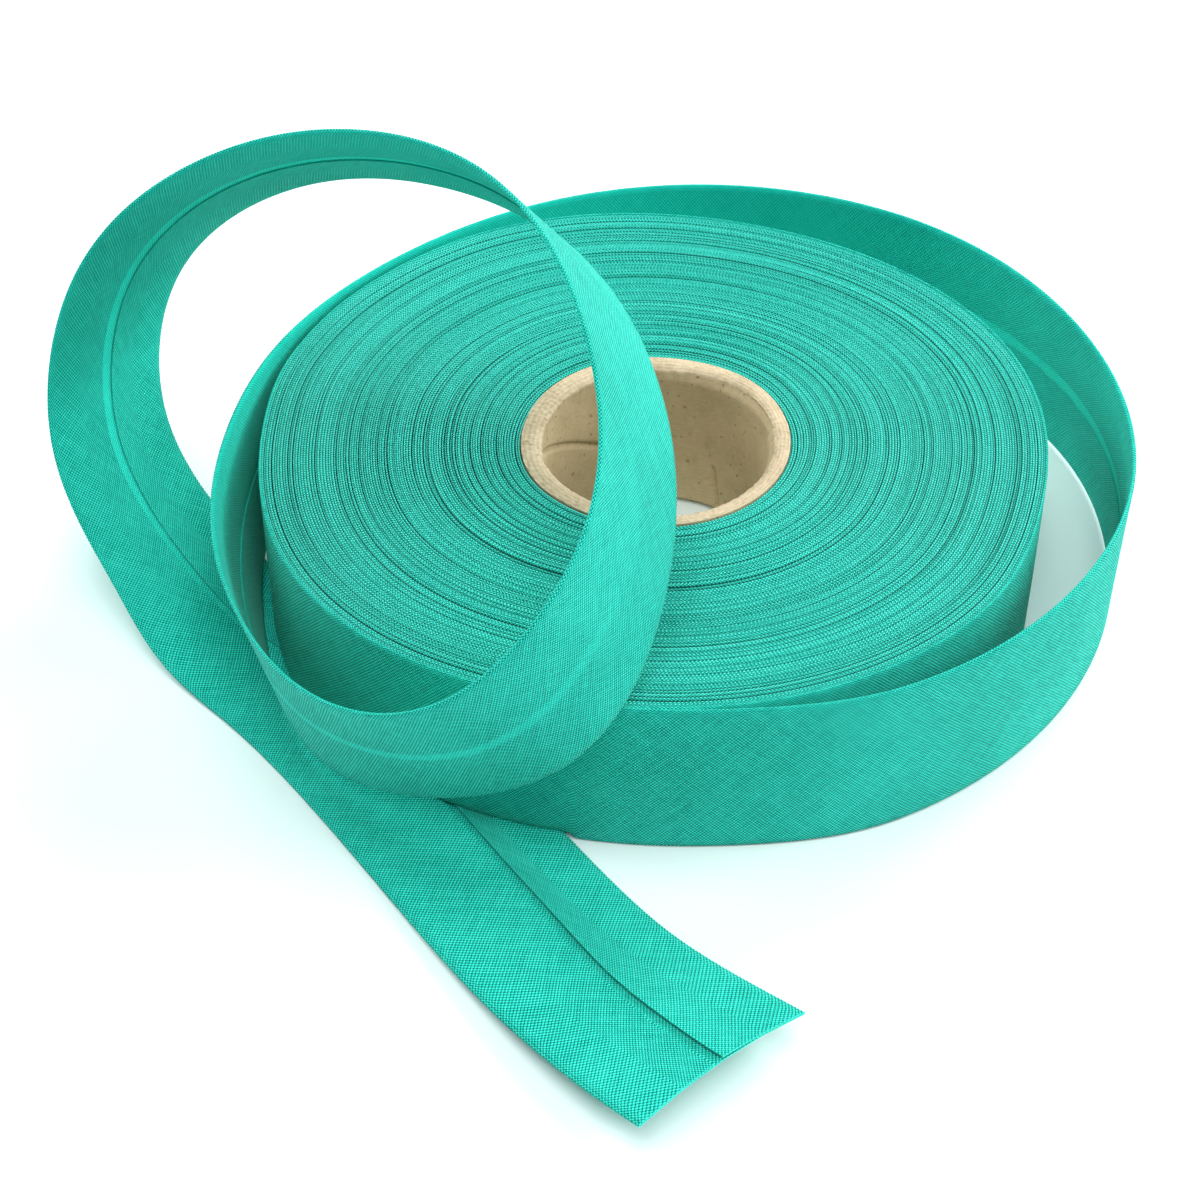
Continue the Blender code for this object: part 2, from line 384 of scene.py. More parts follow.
def binding_finish(name, bump, ridges):
    """Cloth material; with ridges, painted shade darkens the flanks of the wound folds."""
    material, tree, shader = new_finish(name)
    height, slub, along, across = weave(tree)
    cloud = noise(tree, point(tree, along, across), 45.0, 2.0)
    uneven = calc(tree, "ADD", calc(tree, "MULTIPLY", calc(tree, "SUBTRACT", slub, 0.5), 0.45),
                  calc(tree, "MULTIPLY", calc(tree, "SUBTRACT", cloud, 0.5), 0.25))
    weave_tone = calc(tree, "ADD", height, uneven)
    # mask of the folded sides in shade: the weave's painted light and shade, and its bump, are
    # made fainter there
    pressed = calc(tree, "MULTIPLY", near(tree, along, SHADED_FACES_AT, SHADED_FACES_REACH),
                   calc(tree, "GREATER_THAN", calc(tree, "ABSOLUTE", across), SMOOTH_FACE_TO))
    share = 0.0 if ridges else SHADED_FACES_SHARE
    contrast = calc(tree, "SUBTRACT", 1.0, calc(tree, "MULTIPLY", pressed, share))
    tone = calc(tree, "MULTIPLY_ADD", calc(tree, "SUBTRACT", weave_tone, MIDDLE_TONE), contrast,
                MIDDLE_TONE)
    # each ramp paints shade between the threads at its low end and light on their backs at its
    # high end
    if ridges:
        colour = shades(tree, tone, ((0.28, DYE_PAINTED_SHADE), (0.54, DYE), (1.0, CREST_PAINTED_LIGHT)))
        # painted shade on the flanks between the fold crests
        colour = fold_flank_shade(tree, across, colour)
    else:
        colour = shades(tree, tone, ((0.33, DYE_PAINTED_SHADE), (0.62, DYE), (1.0, DYE_PAINTED_LIGHT)))
        colour = lit_slit_colour(tree, along, across, weave_tone, colour)
    feed(tree, shader.inputs["Base Color"], colour)
    feed(tree, shader.inputs["Roughness"], calc(tree, "MULTIPLY_ADD", slub, -0.25, 0.95))
    shader.inputs["Specular IOR Level"].default_value = 0.15
    shader.inputs["Sheen Weight"].default_value = 0.1
    shader.inputs["Sheen Roughness"].default_value = 0.4
    shader.inputs["Sheen Tint"].default_value = (0.75, 1.0, 0.95, 1.0)
    bumps = tree.nodes.new("ShaderNodeBump")
    feed(tree, bumps.inputs["Strength"], calc(tree, "MULTIPLY", contrast, bump))
    bumps.inputs["Distance"].default_value = WEAVE_DEPTH
    feed(tree, bumps.inputs["Height"], calc(tree, "MULTIPLY_ADD", slub, 0.5, height))
    feed(tree, shader.inputs["Normal"], bumps.outputs[0])
    through = tree.nodes.new("ShaderNodeBsdfTranslucent")
    feed(tree, through.inputs["Color"], colour)
    blend = tree.nodes.new("ShaderNodeMixShader")
    blend.inputs[0].default_value = LIGHT_THROUGH
    tree.links.new(shader.outputs[0], blend.inputs[1])
    tree.links.new(through.outputs[0], blend.inputs[2])
    tree.links.new(blend.outputs[0], tree.nodes["Material Output"].inputs["Surface"])
    return material


strip_finish = binding_finish("sea_green_binding", bump=1.0, ridges=False)
turns_finish = binding_finish("sea_green_fold_edges", bump=1.4, ridges=True)
print("binding finishes:", strip_finish.name, "and", turns_finish.name)

# %% [markdown]
# ## Where the turns lie
# A wound roll is one long spiral. Turn number and bearing grow together, and the radius goes
# from the tube to the outside of the roll. Real turns aren't evenly tight: a slow wander in
# the spacing gives the bands of looser and tighter turns that one sees from above.

# %% the spiral
def turn_share(turn):
    """Share of the way from the tube to the outside, for a turn number."""
    fine = np.linspace(-1, TURNS + 1, 4000)
    tightness = 1 + wander(fine + 1, 2.3, 0.10, 11) + wander(fine + 1, 0.7, 0.08, 12)
    filled = np.concatenate([[0], np.cumsum(tightness[1:])])
    low, high = np.interp((-0.5, TURNS + 0.5), fine, filled)
    return (np.interp(turn, fine, filled) - low) / (high - low)


def turn_bearing(turn):
    return LEAVES_ROLL_AT + 360.0 * (np.asarray(turn) - TURNS)


def radius_between(bearing, share):
    """Radius at a bearing, for a share of the way from the tube to the outside."""
    inside = tube_radius(bearing) + FIRST_TURN_GAP
    return inside + (roll_radius(bearing) - inside) * share


def turn_radius(turn):
    """Radius of the middle of the strip at a turn number."""
    return radius_between(turn_bearing(turn), turn_share(turn))


def strip_length_to(turn):
    """Metres of strip wound up to a turn number, counted back from the roll's last turn."""
    fine = np.linspace(0, TURNS, 20001)
    radius = turn_radius(fine)
    length = np.concatenate([[0], np.cumsum((radius[1:] + radius[:-1]) * math.pi * np.diff(fine))])
    return np.interp(turn, fine, length) - length[-1]


print("wound strip:", round(-float(strip_length_to(0.0)), 2), "m, pitch",
      round(float(np.ptp(turn_radius(np.array([20.0, 80.0])))) / 60 / MM, 3), "mm")

# %% [markdown]
# ## The tops of the turns
# From above one sees only the folded edges, each a thin rounded ridge. Some turns stand a
# little proud and some have slipped down, and between a few of them a gap shows as a
# dark line. Each turn gets its own ridge in the mesh, because a flat ring with painted
# lines would look wrong from the side. The heights wander along the strip, and the gaps come
# in shuffled sets of six: four nearly closed, one small and one wide. The roll dips a little
# towards the tube, and where the flat tail passes below, the strip's lower edge is lifted
# clear of it.

# %% heights of the turns and gaps between them
TOP_DIPS = ((0.0, 0.7), (0.06, 0.25), (0.25, 0.0), (0.6, 0.15), (0.9, 0.0), (1.0, 0.0))
TAIL_BEARING = math.radians(215.8)
LIFT_STARTS = 40.4 * MM
LIFT_ENDS = 41.2 * MM
TAIL_LIFT = 0.78 * MM


def wander_by_turn(turn, spacing, size, seed):
    """The same wander for turn numbers; the spacing is in sixths of a turn."""
    return wander(turn * 6 + 12, spacing, size, seed)


def top_height(turn):
    dips = np.array(TOP_DIPS)
    slow = wander_by_turn(turn, 4.0, 0.06, 21) + wander_by_turn(turn, 1.3, 0.04, 22)
    slipped = ease_in((wander_by_turn(turn, 5.0, 1.0, 23) - 0.8) / 0.9) * 0.2
    dip = np.interp(turn_share(turn), dips[:, 0], dips[:, 1])
    return STRIP_WIDTH - (dip - slow + slipped) * MM


def lift_over_tail(x, y):
    chord = x * math.cos(TAIL_BEARING) + y * math.sin(TAIL_BEARING)
    return TAIL_LIFT * ease_in((chord - LIFT_STARTS) / (LIFT_ENDS - LIFT_STARTS))


def bottom_height(turn, x, y):
    return lift_over_tail(x, y) + np.abs(wander_by_turn(turn, 3.0, 0.06, 24)) * MM


GAPS = np.random.default_rng(25)
GAP_OF_TURN = np.concatenate([GAPS.permutation((0.05, 0.05, 0.1, 0.08, 0.2, 0.38))
                              for six_turns in range(TURNS // 6 + 2)])


def gap_after(turn):
    """Share of the pitch left open outside a turn: nearly nothing, or a dark gap."""
    return np.interp(turn + 2, np.arange(len(GAP_OF_TURN)), GAP_OF_TURN)


some = np.linspace(0, TURNS, 5000)
print("open gaps on", round(float((gap_after(some) > 0.2).mean()) * 100), "% of the strip")

# %% [markdown]
# ## Winding the turns
# Each cross-section is a tall thin shape with a rounded ridge above and below. Two pieces of
# about fifty turns each keep the meshes a sensible size. The roll's very last turn is left
# for later, because it shows its whole face and is folded cloth like the loose end.

# %% wound turns
RIDGE_HEIGHT = 0.26 * MM
STATIONS_PER_TURN = 180
RIDGE_ANGLES = np.radians((0, 45, 90, 135, 180))
FOOT_ANGLES = np.radians((180, 270, 360))
TURN_ACROSS = STRIP_WIDTH / 2 + np.array((-0.3, -0.15, 0.0, 0.15, 0.3,
                                          25.0, 25.3, 25.6, 50.3)) * MM
OFF_THE_TUBE = 0.02 * MM
THINNEST_TURN = 0.1 * MM


def wind(name, first, last):
    """Solid strip wound from turn first to turn last."""
    turn = np.linspace(first, last, int(round((last - first) * STATIONS_PER_TURN)) + 1)
    bearing = np.radians(turn_bearing(turn))
    low = radius_between(turn_bearing(turn), turn_share(turn - 0.5))
    high = radius_between(turn_bearing(turn), turn_share(turn + 0.5))
    high = high - (high - low) * gap_after(turn)
    low = np.maximum(low, tube_radius(turn_bearing(turn)) + OFF_THE_TUBE)
    high = np.maximum(high, low + THINNEST_TURN)
    middle, half = (low + high) / 2, (high - low) / 2
    top = top_height(turn)
    x, y = middle * np.cos(bearing), middle * np.sin(bearing)
    bottom = bottom_height(turn, x, y)
    radius = np.concatenate([middle[:, None] + half[:, None] * np.cos(RIDGE_ANGLES),
                             middle[:, None] + half[:, None] * np.cos(FOOT_ANGLES)], axis=1)
    height = np.concatenate(
        [(top - RIDGE_HEIGHT)[:, None] + RIDGE_HEIGHT * np.sin(RIDGE_ANGLES),
         (bottom + RIDGE_HEIGHT)[:, None] + RIDGE_HEIGHT * np.sin(FOOT_ANGLES)], axis=1)
    rings = np.stack([radius * np.cos(bearing)[:, None] + ROLL_AXIS[0],
                      radius * np.sin(bearing)[:, None] + ROLL_AXIS[1], height], -1)
    hops = np.linalg.norm(np.diff(rings[::STATIONS_PER_TURN // 2], axis=1), axis=2).mean(axis=0)
    print(name, "average ridge width", round(float(half.mean() * 2 / MM), 3), "mm, side",
          round(float(hops.max() / MM), 1), "mm")
    return skin(name, rings, TURN_ACROSS, strip_length_to(turn), turns_finish)


inner_turns = wind("inner_turns", -0.9, 50.0)
outer_turns = wind("outer_turns", 50.0, TURNS - 1.0)

# %% [markdown]
# ## The path of the loose end
# The loose end has three parts: a slack turn that stands on its edge round the roll, a
# loop in the air, and a flat tail. The tables give the middle of the strip and the
# direction to its upper edge, and a smooth spline joins the rows. The rows are those of the
# CAD model, so this piece lies where its solid lies, apart from a small change at the tip.

# %% places along the loose end
# bearing, distance of the middle from the roll's mean radius, height of the lower edge, lean
SLACK_TURN = (
    (-97, 0.9, 0.1, 0), (-70, 2.6, 0.1, 0), (-40, 6.5, 0.1, 1), (-10, 10.6, 0.1, 1),
    (20, 13.0, 0.1, -2), (50, 12.3, 0.1, 1), (80, 8.5, 0.1, 2), (110, 3.8, 0.1, 2),
    (135, 1.4, 0.3, 1), (158, 0.9, 1.6, 1), (178, 1.5, 2.5, 5), (195, 3.6, 2.3, 11),
    (212, 7.0, 2.6, 14), (230, 11.0, 5.6, 19),
)
# x, y, height of the middle, then bearing and rise of the direction to the upper edge
LOOP_AND_TAIL = (
    (-17.0, -64.5, 30.0, 212, 52), (-4.5, -52.5, 44.5, 228, 52), (-4.0, -31.0, 57.5, 230, 52),
    (-15.0, -8.5, 65.5, 228, 51), (-35.5, 9.0, 64.0, 227, 43), (-58.0, 19.0, 54.5, 232, 32),
    (-76.0, 19.5, 37.0, 239, 27), (-79.0, 9.5, 16.5, 235, 24), (-67.0, -6.5, 3.6, 225, 14),
    (-59.5, -15.5, 0.8, 223, 3), (-51.0, -24.0, 0.1, 222, 0), (-35.0, -43.5, 0.1, 218, 0),
    (-19.5, -65.0, 0.1, 218, 0), (-7.5, -79.5, 0.2, 220, 0), (7.5, -93.0, 1.5, 222, -1),
)
CAD_SHEET_HALF = 0.5 * MM


def slack_place(bearing, distance, lift, lean):
    """Middle of the strip about the roll's axis, and direction of its upper edge."""
    angle, tilt = math.radians(bearing), math.radians(lean)
    outward = np.array([math.cos(angle), math.sin(angle), 0])
    middle = outward * (ROLL_RADIUS + distance * MM)
    lowest = CAD_SHEET_HALF * abs(math.sin(tilt))
    middle[2] = lift * MM + lowest + STRIP_WIDTH / 2 * math.cos(tilt)
    return middle, outward * math.sin(tilt) + np.array([0, 0, math.cos(tilt)])


def free_place(x, y, height, bearing, rise):
    """The same for the rows of the loop and the tail."""
    angle, climb = math.radians(bearing), math.radians(rise)
    edge = np.array([math.cos(climb) * math.cos(angle), math.cos(climb) * math.sin(angle),
                     math.sin(climb)])
    return np.array([x, y, height]) * MM + np.array([0, 0, CAD_SHEET_HALF]), edge


places = [slack_place(*row) for row in SLACK_TURN] + [free_place(*row) for row in LOOP_AND_TAIL]
print(len(places), "rows place the loose end")

# %% [markdown]
# A natural spline is the curve that a thin springy strip takes through fixed points, so it
# suits cloth on edge. NumPy solves for its bends directly.

# %% a natural spline
def natural_spline(knots, values, at):
    """A smooth curve through the values at the knots, read at the places at."""
    gaps = np.diff(knots)
    count = len(knots)
    system, right = np.eye(count), np.zeros_like(values)
    slopes = np.diff(values, axis=0) / gaps[:, None]
    for i in range(1, count - 1):
        system[i, i - 1:i + 2] = gaps[i - 1], 2 * (gaps[i - 1] + gaps[i]), gaps[i]
        right[i] = 6 * (slopes[i] - slopes[i - 1])
    bends = np.linalg.solve(system, right)
    span = np.clip(np.searchsorted(knots, at) - 1, 0, count - 2)
    gap = gaps[span][:, None]
    ahead, behind = (knots[span + 1] - at)[:, None], (at - knots[span])[:, None]
    return (bends[span] * ahead ** 3 / (6 * gap) + bends[span + 1] * behind ** 3 / (6 * gap)
            + (values[span] / gap - bends[span] * gap / 6) * ahead
            + (values[span + 1] / gap - bends[span + 1] * gap / 6) * behind)


middles = np.array([middle for middle, edge in places])
edges = np.array([edge for middle, edge in places])
knots = np.concatenate([[0], np.cumsum(np.linalg.norm(np.diff(middles, axis=0), axis=1))])
STATION = TOOTH / 2
at = np.linspace(0, knots[-1], int(round(knots[-1] / STATION)) + 1)
path = natural_spline(knots, middles, at)
upper = natural_spline(knots, edges, at)
print("loose end:", round(float(knots[-1]) / MM, 1), "mm between rows,", len(at), "stations")

# %% [markdown]
# The loose end grows out of the last wound turn. Over its first four centimetres it is eased
# from that turn's place to the path above, so nothing shows where one becomes the other.

# %% joining the loose end to the roll
PARTING = 40 * MM

parted = ease_in(at / PARTING)
radial = np.linalg.norm(path[:, :2], axis=1)
bearing_here = np.degrees(np.arctan2(path[:, 1], path[:, 0]))
joined = radius_between(bearing_here, turn_share(TURNS))
wanted = np.where(at < PARTING, joined + (radial - joined) * parted, radial)
path[:, :2] *= (wanted / radial)[:, None]
level = STRIP_WIDTH / 2
path[:, 2] = np.where(at < PARTING, level + (path[:, 2] - level) * parted, path[:, 2])
print("it starts", round(float(wanted[0]) / MM, 2), "mm from the axis")

# %% [markdown]
# ## Folding the strip
# Across the strip the cloth runs: raw edge of one side, its folded-in half, round the fold,
# the full smooth face, round the other fold, and back to the other raw edge. So the section
# is drawn as one line of seventeen points through the middle of the cloth. Offsetting it by
# half the cloth's thickness to both sides gives a closed skin with two real layers, real
# folds and a real slit. A Solidify modifier on a flat band would miss all three.

# %% the folded section
FOLD_ANGLES = np.radians((-62, 0, 62))


def folded_section(fold, slit_a, slit_b, raise_a, raise_b):
    """Middle line (stations, 17, 2) as (across, out) in metres, from stations' own values."""
    count = len(fold)
    flat = CLOTH_THICKNESS / 2 + 0.012 * MM
    sides = []
    for slit, rise in ((slit_a, raise_a), (slit_b, raise_b)):
        centre = STRIP_WIDTH / 2 - fold - CLOTH_THICKNESS / 2
        arc = [np.stack([centre + fold * math.cos(a), fold * math.sin(a)], 1) for a in FOLD_ANGLES]
        shoulder = centre - 0.9 * MM
        bulge = np.minimum(fold, flat + (fold - flat) * 0.55)
        points = [np.stack([slit, -flat - rise], 1),
                  np.stack([np.full(count, 6.0 * MM), np.full(count, -flat) - rise * 0.25], 1),
                  np.stack([shoulder, -bulge], 1), *arc,
                  np.stack([shoulder, bulge], 1),
                  np.stack([np.full(count, 6.0 * MM), np.full(count, flat)], 1)]
        sides.append(np.stack(points, 1))
    middle = np.stack([np.zeros(count), np.full(count, flat)], 1)[:, None]
    other = sides[1][:, ::-1] * np.array([-1, 1])
    return np.concatenate([sides[0], middle, other], axis=1)


def offset_both_ways(line):
    """The section's outer skin followed by its inner skin, back to front."""
    run = np.gradient(line, axis=1)
    run /= np.linalg.norm(run, axis=2, keepdims=True)
    side = np.stack([run[..., 1], -run[..., 0]], -1) * CLOTH_THICKNESS / 2
    return line + side, line - side


trial = folded_section(*(np.array([value]) * MM for value in (0.3, 0.5, 0.5, 0.0, 0.0)))
outer, inner = offset_both_ways(trial)
print("folded strip is", round(float(np.ptp(outer[..., 0])) / MM, 2), "mm wide and",
      round(float(np.ptp(outer[..., 1])) / MM, 2), "mm thick")

# %% [markdown]
# The teeth of the folds are part of the mesh: the outermost points step in and out by a few
# hundredths of a millimetre from station to station, one tooth for each thread crossing.

# %% sweeping the folded strip
TOOTH_DEPTH = 0.08 * MM
FOLD_POINTS = np.array([3, 4, 5, 11, 12, 13])
OPEN_ACROSS = np.array([24.6, 18.4, 14.2, 13.1, 12.75, 12.4, 11.2, 6.0, 0.0,
                        -6.0, -11.2, -12.4, -12.75, -13.1, -14.2, -18.4, -24.6]) * MM


def sweep_strip(name, path, upper, along, section, shift=None, seed=5):
    """Folded strip along a path; upper points to its upper edge, along is in metres.
    A shift, if given, moves points along the path by their place across."""
    ahead = np.gradient(path, axis=0)
    ahead /= np.linalg.norm(ahead, axis=1)[:, None]
    edge = upper - ahead * (upper * ahead).sum(axis=1)[:, None]
    edge /= np.linalg.norm(edge, axis=1)[:, None]
    out = np.cross(ahead, edge)
    outer, inner = offset_both_ways(section)
    tooth = np.where(np.arange(len(path)) % 2 == 0, 1.0, -1.0) * TOOTH_DEPTH
    uneven = np.random.default_rng(seed).normal(0, 0.3, (len(path), len(FOLD_POINTS)))
    outer[:, FOLD_POINTS, 0] += (np.sign(OPEN_ACROSS[FOLD_POINTS])
                                 * tooth[:, None] * (1 + uneven)) / 2
    ring = np.concatenate([outer, inner[:, ::-1]], axis=1)
    points = (path[:, None] + edge[:, None] * ring[..., :1] + out[:, None] * ring[..., 1:])
    if shift is not None:
        points += ahead[:, None] * shift(ring[..., 0])[..., None]
    points[..., :2] += ROLL_AXIS
    across = np.concatenate([OPEN_ACROSS, OPEN_ACROSS[::-1] + INSIDE_OFFSET, OPEN_ACROSS[:1]])
    return skin(name, points, across, along, strip_finish, caps="folded")


# %% [markdown]
# ## The last wound turn
# It is still tight on the roll, so its folds are pressed flat. Its face is the roll's wall.

# %% last turn
TIGHT_FOLD = 0.085 * MM
TIGHT_HALF_SLIT = 0.5 * MM


def even(value, count):
    return np.full(count, value)


def raise_lower_edge(section, lift):
    """Squeeze the lower half of each section upwards, so its edge clears the tail."""
    low_side = np.clip(-section[..., 0] / (STRIP_WIDTH / 2), 0, 1)
    section[..., 0] += lift[:, None] * low_side
    return section


turn_count = int(round(2 * math.pi * ROLL_RADIUS / STATION))
last = np.linspace(TURNS - 1.0, TURNS, turn_count + 1)
last_bearing = np.radians(turn_bearing(last))
last_radius = turn_radius(last)
last_x, last_y = last_radius * np.cos(last_bearing), last_radius * np.sin(last_bearing)
last_path = np.stack([last_x, last_y, even(level, len(last))], 1)
last_shape = (TIGHT_FOLD, TIGHT_HALF_SLIT, TIGHT_HALF_SLIT, 0.0, 0.0)
last_section = folded_section(*(even(value, len(last)) for value in last_shape))
last_section = raise_lower_edge(last_section, lift_over_tail(last_x, last_y))
last_turn = sweep_strip("last_turn", last_path, np.tile((0.0, 0.0, 1.0), (len(last), 1)),
                        strip_length_to(last), last_section, seed=6)

# %% [markdown]
# ## The loose strip
# Off the roll the folds spring open to twice their tight radius. The slit wanders about the
# middle; it is wider at the back right of the slack turn and on the left of the loop, and it
# drifts towards the right-hand fold on the tail. Towards the cut end the two sides part and
# the right one lifts, which draws a dark line along its raw edge. The last few centimetres
# arch and rise off the table, and the end is cut askew.

# %% how the loose strip is folded
LOOSE_FOLD = 0.17 * MM
HALF_SLIT, WIDER_SLIT_BY = 0.7, 0.35
TAIL_DRIFT = 2.7

hops = np.linalg.norm(np.diff(path, axis=0), axis=1)
strip_along = np.concatenate([[0], np.cumsum(hops)])
strip_length = float(strip_along[-1])
from_end = strip_length - strip_along
along_mm = strip_along / MM
fold = (TIGHT_FOLD / MM + (LOOSE_FOLD - TIGHT_FOLD) / MM * ease_in(strip_along / PARTING)
        + wander(strip_along, 14 * MM, 0.012, 31)) * MM
on_loop = ease_in((along_mm - 230) / 60)
drift = wander(strip_along, 60 * MM, 0.15, 32) + on_loop * -SLIT_ON_LOOP / MM
drift += TAIL_DRIFT * ease_in((along_mm - 590) / 45) * ease_in(from_end / (38 * MM))
parting_end = ease_in(1 - from_end / (85 * MM)) ** 1.3
wider = ease_in(1.4 - abs(along_mm - 150) / 95) + ease_in(1.4 - abs(along_mm - 515) / 90)
half_slit = HALF_SLIT + WIDER_SLIT_BY * wider - 0.3 * ease_in((along_mm - 570) / 40)
slit_a = half_slit + wander(strip_along, 9 * MM, 0.05, 33) - drift + 1.4 * parting_end
slit_b = half_slit + wander(strip_along, 9 * MM, 0.05, 34) + drift - 0.9 * parting_end
raise_a = 0.06 * parting_end
raise_b = 0.02 + 0.12 * ease_in(1 - from_end / (105 * MM)) + 0.25 * parting_end
strip_section = folded_section(fold, slit_a * MM, slit_b * MM, raise_a * MM, raise_b * MM)
print("slit from", round(float((slit_a + slit_b).min()), 2), "to",
      round(float((slit_a + slit_b).max()), 2), "mm wide")

# %% [markdown]
# The tail settles a quarter of a millimetre onto the table, and its tip rises off it and comes
# forward a little. Where the strip leaves the roll, its lower edge clears the tail as the
# wound turns do.

# %% the loose strip itself
CUT_SLANT = 4.9 * MM
END_ARCH = 1.7 * MM
TIP_LIFT = 3.0 * MM
TIP_FORWARD = 1.11
TIP_SPREAD = 0.03
TAIL_SETTLES = 0.26 * MM

strip_lift = lift_over_tail(path[:, 0], path[:, 1]) * ease_in(1 - strip_along / PARTING)
strip_section = raise_lower_edge(strip_section, strip_lift)
near_end = ease_in(1 - from_end / (25 * MM))
arch = END_ARCH * ease_in(1 - from_end / (45 * MM))
strip_section[..., 1] -= arch[:, None] * (1 - (strip_section[..., 0] / (STRIP_WIDTH / 2)) ** 2)
strip_section[..., 0] *= 1 + TIP_SPREAD * near_end[:, None]


def cut_askew(across):
    return -CUT_SLANT * across / STRIP_WIDTH * near_end[:, None]


path[:, 2] -= TAIL_SETTLES * ease_in((along_mm - 480) / 40)
tip = TIP_LIFT * ease_in(1 - from_end / (55 * MM))
path[:, 2] += tip
path[:, 1] -= tip * TIP_FORWARD
loose_strip = sweep_strip("loose_strip", path, upper, strip_along, strip_section, cut_askew)
print("loose strip:", round(strip_length / MM, 1), "mm long, folded", STRIP_WIDTH / MM, "mm wide")

# %% [markdown]
# ## The cardboard tube
# A paper tube is wound from several plies. Its cut ends are pale and rough, the inner lip
# is torn by the saw, and inside the ply's seam leaves a slanting groove. The wall is a fine
# grid, so groove, seam and lip are real dents rather than painted ones.

# %% cardboard finishes
SPECK_COLOUR = (0.16, 0.11, 0.055)
SPECK_SHARE = 0.55
PLY = 0.55 * MM


def kraft_finish(name, light, dark, speck, plies):
    """Kraft paper: cloudy, with fibres, a few dark specks, and ply lines on a cut end."""
    material, tree, shader = new_finish(name)
    along, across = cloth_place(tree)
    place = point(tree, along, across)
    cloud = noise(tree, place, 220.0, 4.0, 0.6)
    grain = noise(tree, point(tree, calc(tree, "MULTIPLY", along, 0.35), across), 2600.0, 3.0, 0.6)
    tone = calc(tree, "MULTIPLY_ADD", grain, 0.5, calc(tree, "MULTIPLY", cloud, 0.5))
    if plies:
        waviness = noise(tree, place, 160.0, 2.0)
        lines = calc(tree, "SINE", calc(tree, "MULTIPLY_ADD", waviness, 5.0,
                                        calc(tree, "MULTIPLY", across, 2 * math.pi / PLY)))
        tone = calc(tree, "MULTIPLY_ADD", lines, plies, tone)
    colour = shades(tree, tone, ((0.3, dark), (0.62, light)))
    spots = calc(tree, "GREATER_THAN", noise(tree, place, 900.0, 1.0), speck)
    colour = blended(tree, calc(tree, "MULTIPLY", spots, SPECK_SHARE), colour, SPECK_COLOUR)
    feed(tree, shader.inputs["Base Color"], colour)
    feed(tree, shader.inputs["Roughness"], calc(tree, "MULTIPLY_ADD", grain, 0.2, 0.75))
    shader.inputs["Specular IOR Level"].default_value = 0.3
    bumps = tree.nodes.new("ShaderNodeBump")
    bumps.inputs["Strength"].default_value = 0.6
    bumps.inputs["Distance"].default_value = 0.12 * MM
    feed(tree, bumps.inputs["Height"], tone)
    feed(tree, shader.inputs["Normal"], bumps.outputs[0])
    return material


wall_finish = kraft_finish("kraft_tube_wall", (0.53, 0.435, 0.26), (0.39, 0.315, 0.18),
                           speck=0.70, plies=0)
rim_finish = kraft_finish("kraft_tube_cut_end", (0.58, 0.485, 0.325), (0.36, 0.285, 0.175),
                          speck=0.74, plies=0.05)
print("cardboard finishes:", wall_finish.name, "and", rim_finish.name)

# %% the tube's shape
TUBE_STATIONS = 480
INSIDE_ROWS = 84
LIP = 0.65 * MM
TUBE_FOOT = 0.6 * MM
WORN_LIP = 0.75 * MM
MOST_WORN_AT = 350


def inside_dents(bearing, height):
    """How far the inner face is pressed outwards, in metres, at a bearing and height."""
    groove_height = (19.9 - (172.9 - bearing) * 0.149) * MM
    on_line = np.exp(-((height - groove_height) / (0.42 * MM)) ** 2)
    groove = 0.8 * on_line * ease_in((bearing - 98) / 12) * ease_in((212 - bearing) / 10)
    seam = np.exp(-((bearing - 50.0 - height / MM * 0.5) / 1.3) ** 2)
    seam = 0.7 * seam * ease_in((9 * MM - height) / (2 * MM))
    flap = 0.45 * ease_in((bearing - 6.5) / 1.0) * ease_in((60 - bearing) / 50)
    flap = flap * ease_in((height - 14 * MM) / (6 * MM))
    return (groove + seam + flap) * MM


bearing = np.linspace(0, 360, TUBE_STATIONS, endpoint=False)
outside = tube_radius(bearing)
random = np.random.default_rng(41)
torn = (wander(np.arange(TUBE_STATIONS), 3, 0.07, 42) + random.normal(0, 0.03, TUBE_STATIONS)) * MM
torn[-3:] = torn[-3:] * np.array([0.7, 0.5, 0.3])
worn = WORN_LIP * ease_in((np.cos(np.radians(bearing - MOST_WORN_AT)) + 0.55) / 1.1)
outline, heights = [], []
for height in (TUBE_FOOT, TUBE_FOOT + 0.25 * MM, TUBE_HEIGHT / 2, TUBE_HEIGHT - 0.3 * MM,
               TUBE_HEIGHT - 0.08 * MM):
    outline.append(outside)
    heights.append(even(height, TUBE_STATIONS))
for share in (0.06, 0.2, 0.35, 0.5, 0.65, 0.8, 0.93):
    outline.append(outside - (TUBE_WALL - worn) * share)
    rough = random.normal(0, 0.07, TUBE_STATIONS) - 0.45 * max(share - 0.6, 0) / 0.4
    heights.append(even(TUBE_HEIGHT - 0.05 * MM, TUBE_STATIONS) + rough * MM)
for height in np.linspace(TUBE_HEIGHT - LIP, TUBE_FOOT + 0.2 * MM, INSIDE_ROWS):
    dents = inside_dents(bearing, height)
    tear = (torn + worn) * ease_in((height - TUBE_HEIGHT + 2.2 * MM) / (1.9 * MM))
    outline.append(outside - TUBE_WALL + dents + tear)
    heights.append(even(height, TUBE_STATIONS))
outline.append(outside - TUBE_WALL + 0.15 * MM)
heights.append(even(TUBE_FOOT, TUBE_STATIONS))
radius, height = np.stack(outline, 1), np.stack(heights, 1)
angle = np.radians(bearing)[:, None]
tube_rings = np.stack([radius * np.cos(angle) + ROLL_AXIS[0],
                       radius * np.sin(angle) + ROLL_AXIS[1], height], -1)
steps = np.linalg.norm(np.diff(tube_rings[0], axis=0, append=tube_rings[0][:1]), axis=1)
tube_across = np.concatenate([[0], np.cumsum(steps)])
tube_along = np.radians(np.append(bearing, 360.0)) * TUBE_RADIUS
tube = skin("tube", tube_rings, tube_across, tube_along, wall_finish, closed=True)
tube.data.materials.append(rim_finish)
